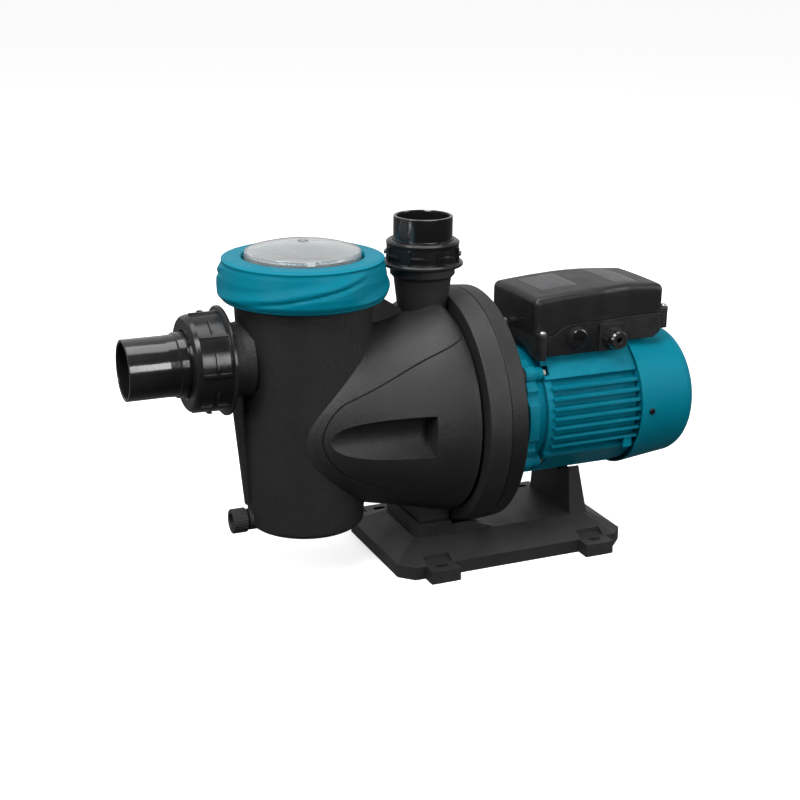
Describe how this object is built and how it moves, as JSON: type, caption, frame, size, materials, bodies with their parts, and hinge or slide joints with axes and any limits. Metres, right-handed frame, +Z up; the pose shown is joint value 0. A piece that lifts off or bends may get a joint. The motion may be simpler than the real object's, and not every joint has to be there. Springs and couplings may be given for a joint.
{
  "type": "pool pump",
  "caption": "Self-priming pool pump: strainer pot with a clear lid under a screw ring, union couplings, flanged casing and a fan-cooled finned motor on a slotted moulded base.",
  "frame": {"origin": "on the floor, at the centre of the base's four bolt slots", "axes": "+X along the shaft towards the motor's fan cover, +Z up, the discharge port's way; the suction port faces -X"},
  "size_m": [0.64, 0.2612, 0.379],
  "materials": {
    "black_moulding": "satin",
    "black_gloss": "gloss",
    "teal_ring": "satin",
    "teal_paint": "satin",
    "teal_cover": "satin",
    "clear_lid": "gloss",
    "black_rubber": "matte",
    "grey_hydraulics": "matte",
    "white_basket": "matte",
    "zinc_screws": "satin",
    "black_screws": "satin",
    "stainless": "satin",
    "bearing_steel": "polished",
    "lamination_steel": "matte",
    "copper": "satin",
    "seal_ceramic": "satin",
    "seal_carbon": "matte",
    "cream_insulator": "matte",
    "capacitor_can": "satin"
  },
  "bodies": {
    "pump": {"base": "black_moulding", "pump_body": "black_moulding", "strainer_pot": "black_moulding", "casing_cover": "black_moulding", "casing_o_ring": "black_rubber", "cover_screws": "zinc_screws", "foot_screws": "zinc_screws", "diffuser": "grey_hydraulics", "diffuser_ring": "stainless", "seal_seat": "seal_ceramic", "front_bearing": "bearing_steel", "rear_bearing": "bearing_steel", "stator_core": "lamination_steel", "front_winding": "copper", "rear_winding": "copper", "motor_housing": "teal_paint", "front_shield": "teal_paint", "flange_screws": "zinc_screws", "rear_shield": "teal_paint", "fan_cover": "teal_cover", "fan_cover_screws": "black_screws", "motor_pad": "black_rubber", "terminal_lid": "black_moulding", "terminal_tray": "black_moulding", "lid_screws": "zinc_screws", "blanking_plug": "black_gloss", "gland_body": "black_gloss", "gland_seal": "black_rubber", "terminal_block": "cream_insulator", "capacitor": "capacitor_can", "suction_tail": "black_gloss", "suction_o_ring": "black_rubber", "discharge_tail": "black_gloss", "discharge_o_ring": "black_rubber"},
    "rotor": {"shaft": "stainless", "rotor_core": "lamination_steel", "impeller": "grey_hydraulics", "impeller_nut": "stainless", "seal_rotating": "seal_carbon", "slinger": "black_rubber", "cooling_fan": "grey_hydraulics"},
    "lid": {"lid_glass": "clear_lid", "lid_o_ring": "black_rubber"},
    "lid_ring": {"lid_ring": "teal_ring"},
    "basket": {"strainer_basket": "white_basket"},
    "basket_handle": {"basket_handle": "white_basket"},
    "suction_nut": {"suction_nut": "black_moulding"},
    "discharge_nut": {"discharge_nut": "black_moulding"},
    "gland_nut": {"gland_nut": "black_gloss"},
    "drain_seal": {"drain_o_ring": "black_rubber"},
    "drain_plug": {"drain_plug": "black_moulding"}
  },
  "joints": [
    {"name": "rotor_spin", "type": "hinge", "parent": "pump", "child": "rotor", "pos_m": [0, 0, 0.155], "axis": [1, 0, 0], "continuous": true},
    {"name": "lid_lift", "type": "slide", "parent": "pump", "child": "lid", "axis": [0, 0, 1], "range_m": [0, 0.34]},
    {"name": "lid_ring_turn", "type": "hinge", "parent": "lid", "child": "lid_ring", "pos_m": [-0.2175, 0, 0.32], "axis": [0, 0, 1], "range_deg": [0, 120]},
    {"name": "basket_lift", "type": "slide", "parent": "pump", "child": "basket", "axis": [0, 0, 1], "range_m": [0, 0.2551]},
    {"name": "basket_handle_swing", "type": "hinge", "parent": "basket", "child": "basket_handle", "pos_m": [-0.2175, 0, 0.3025], "axis": [0, -1, 0], "range_deg": [0, 90.1]},
    {"name": "suction_nut_turn", "type": "hinge", "parent": "pump", "child": "suction_nut", "pos_m": [-0.32, 0, 0.2436], "axis": [-1, 0, 0], "continuous": true},
    {"name": "discharge_nut_turn", "type": "hinge", "parent": "pump", "child": "discharge_nut", "pos_m": [-0.0828, 0, 0.34], "axis": [0, 0, 1], "continuous": true},
    {"name": "gland_nut_turn", "type": "hinge", "parent": "pump", "child": "gland_nut", "pos_m": [0.122, -0.066, 0.2395], "axis": [0, -1, 0], "continuous": true},
    {"name": "drain_plug_travel", "type": "slide", "parent": "pump", "child": "drain_seal", "axis": [-1, 0, 0], "range_m": [0, 0.0145]},
    {"name": "drain_plug_turn", "type": "hinge", "parent": "drain_seal", "child": "drain_plug", "pos_m": [-0.29, 0, 0.0645], "axis": [-1, 0, 0], "range_deg": [0, 1680]}
  ],
  "couplings": [
    {"joint": "basket_lift", "follows": "lid_lift", "ratio": 0.75},
    {"joint": "basket_handle_swing", "follows": "lid_lift", "rad_per_m": 4.62},
    {"joint": "drain_plug_travel", "follows": "drain_plug_turn", "m_per_rad": 0.00047746}
  ]
}
